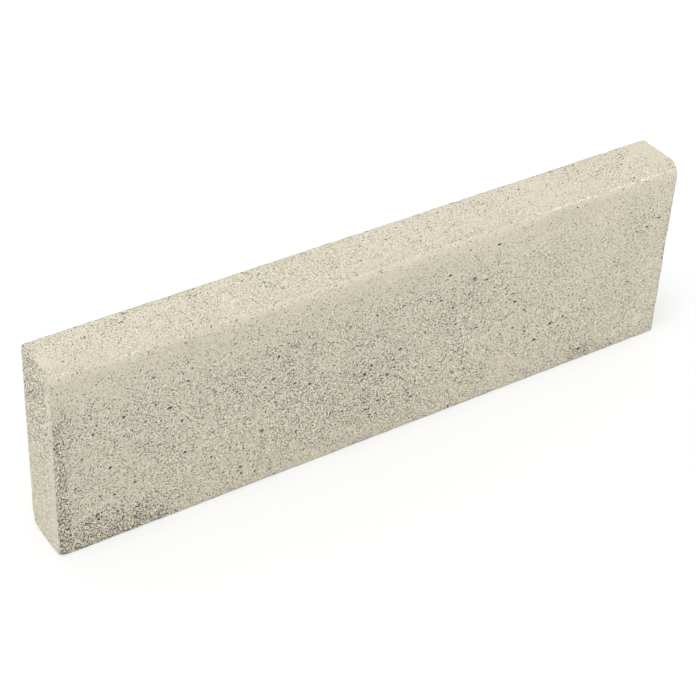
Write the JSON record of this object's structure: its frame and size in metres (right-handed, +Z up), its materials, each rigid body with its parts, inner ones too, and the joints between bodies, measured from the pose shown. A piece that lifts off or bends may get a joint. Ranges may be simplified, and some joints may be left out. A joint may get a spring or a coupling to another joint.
{
  "type": "concrete kerb stone",
  "caption": "Straight pressed concrete edging kerb: a long narrow block with one rounded top arris and plain butt ends.",
  "frame": {"origin": "centre of the bed face, at the level the kerb stands on", "axes": "+X along the kerb, +Y through its thickness from the walking side with the rounded arris to the back, +Z up from the bed"},
  "size_m": [1, 0.08, 0.3],
  "materials": {
    "concrete": "matt dry-cast concrete, fine sandy grain with open pores"
  },
  "bodies": {
    "root": {"kerb_stone": "concrete"}
  },
  "joints": []
}
